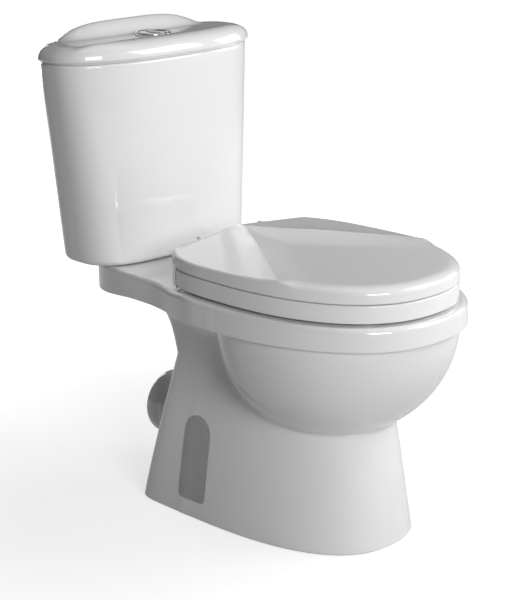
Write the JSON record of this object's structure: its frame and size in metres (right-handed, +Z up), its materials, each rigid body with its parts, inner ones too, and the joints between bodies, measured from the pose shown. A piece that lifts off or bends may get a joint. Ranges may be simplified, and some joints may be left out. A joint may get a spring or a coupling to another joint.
{
  "type": "close coupled toilet",
  "caption": "Close coupled toilet in white glazed china with a wrapping plastic seat and cover, a lift-off cistern lid and a dual flush push button.",
  "frame": {"origin": "floor level, in the middle of the overall width and of the depth from the rim's nose to the back of the cistern", "axes": "+Z up, +X across from left to right as seen from the front, +Y from the front of the bowl to the wall"},
  "size_m": [0.409, 0.7, 0.7582],
  "materials": {
    "glazed_china": "gloss",
    "white_seat_plastic": "gloss",
    "white_plastic": "satin",
    "soft_white_plastic": "matte",
    "black_rubber": "matte",
    "zinc_steel": "satin",
    "chrome_button": "polished"
  },
  "bodies": {
    "pan_and_cistern": {"pan": "glazed_china", "cistern_tank": "glazed_china", "doughnut_washer": "black_rubber", "coupling_bolts": "zinc_steel", "coupling_rubbers": "black_rubber", "coupling_spacers": "black_rubber", "coupling_plates": "zinc_steel", "coupling_wing_nuts": "zinc_steel", "fixing_caps": "white_plastic", "hinge_posts": "white_seat_plastic", "hinge_pads": "soft_white_plastic", "hinge_pins": "zinc_steel", "hinge_bolts": "white_plastic", "hinge_washers": "white_plastic", "hinge_nuts": "white_plastic", "flush_valve_seat": "white_plastic", "flush_valve_washer": "black_rubber", "flush_valve_nut": "white_plastic", "flush_valve_tower": "white_plastic", "lever_pins": "zinc_steel", "fill_valve": "white_plastic", "fill_valve_washer": "black_rubber", "inlet_nut": "white_plastic", "fill_valve_head": "white_plastic", "float_arm_pin": "zinc_steel"},
    "seat_cover": {"seat_cover": "white_seat_plastic", "cover_buffers": "soft_white_plastic"},
    "seat_ring": {"seat_ring": "white_seat_plastic", "ring_buffers": "soft_white_plastic"},
    "lid": {"cistern_lid": "glazed_china", "button_housing": "chrome_button", "housing_nut": "white_plastic", "full_button_spring": "zinc_steel", "half_button_spring": "zinc_steel"},
    "full_button": {"full_button": "chrome_button", "full_push_rod": "white_plastic"},
    "half_button": {"half_button": "chrome_button", "half_push_rod": "white_plastic"},
    "overflow_tube": {"overflow_tube": "white_plastic", "valve_seal": "black_rubber"},
    "half_flush_sleeve": {"half_flush_sleeve": "white_plastic"},
    "full_lever": {"full_lever": "white_plastic"},
    "half_lever": {"half_lever": "white_plastic"},
    "float": {"float_cup": "white_plastic", "float_rod": "zinc_steel"},
    "float_arm": {"float_arm": "white_plastic"}
  },
  "joints": [
    {"name": "cover_hinge", "type": "hinge", "parent": "pan_and_cistern", "child": "seat_cover", "pos_m": [0, 0.084, 0.411], "axis": [-1, 0, 0], "range_deg": [0, 100]},
    {"name": "ring_hinge", "type": "hinge", "parent": "pan_and_cistern", "child": "seat_ring", "pos_m": [0, 0.084, 0.411], "axis": [-1, 0, 0], "range_deg": [0, 100]},
    {"name": "lid_lift", "type": "slide", "parent": "pan_and_cistern", "child": "lid", "axis": [0, 0, 1], "range_m": [0, 0.16]},
    {"name": "full_button_press", "type": "slide", "parent": "lid", "child": "full_button", "axis": [0, 0, -1], "range_m": [0, 0.008], "stiffness_N_per_m": 150, "springref_m": -0.004, "deforming": ["full_button_spring"]},
    {"name": "half_button_press", "type": "slide", "parent": "lid", "child": "half_button", "axis": [0, 0, -1], "range_m": [0, 0.008], "stiffness_N_per_m": 150, "springref_m": -0.004, "deforming": ["half_button_spring"]},
    {"name": "tube_lift", "type": "slide", "parent": "pan_and_cistern", "child": "overflow_tube", "axis": [0, 0, 1], "range_m": [0, 0.0064]},
    {"name": "full_lever_turn", "type": "hinge", "parent": "pan_and_cistern", "child": "full_lever", "pos_m": [-0.03, 0.264, 0.612], "axis": [0, -1, 0], "range_deg": [0, 23]},
    {"name": "half_sleeve_lift", "type": "slide", "parent": "pan_and_cistern", "child": "half_flush_sleeve", "axis": [0, 0, 1], "range_m": [0, 0.0064]},
    {"name": "half_lever_turn", "type": "hinge", "parent": "pan_and_cistern", "child": "half_lever", "pos_m": [0.03, 0.264, 0.612], "axis": [0, 1, 0], "range_deg": [0, 23]},
    {"name": "float_drop", "type": "slide", "parent": "pan_and_cistern", "child": "float", "axis": [0, 0, -1], "range_m": [0, 0.01]},
    {"name": "float_arm_turn", "type": "hinge", "parent": "pan_and_cistern", "child": "float_arm", "pos_m": [0.115, 0.278, 0.643], "axis": [0, -1, 0], "range_deg": [0, 23]}
  ],
  "couplings": [
    {"joint": "ring_hinge", "follows": "cover_hinge", "ratio": 1},
    {"joint": "tube_lift", "follows": "full_button_press", "ratio": 0.8},
    {"joint": "full_lever_turn", "follows": "full_button_press", "rad_per_m": 50},
    {"joint": "half_sleeve_lift", "follows": "half_button_press", "ratio": 0.8},
    {"joint": "half_lever_turn", "follows": "half_button_press", "rad_per_m": 50},
    {"joint": "float_arm_turn", "follows": "float_drop", "rad_per_m": 38.46}
  ]
}
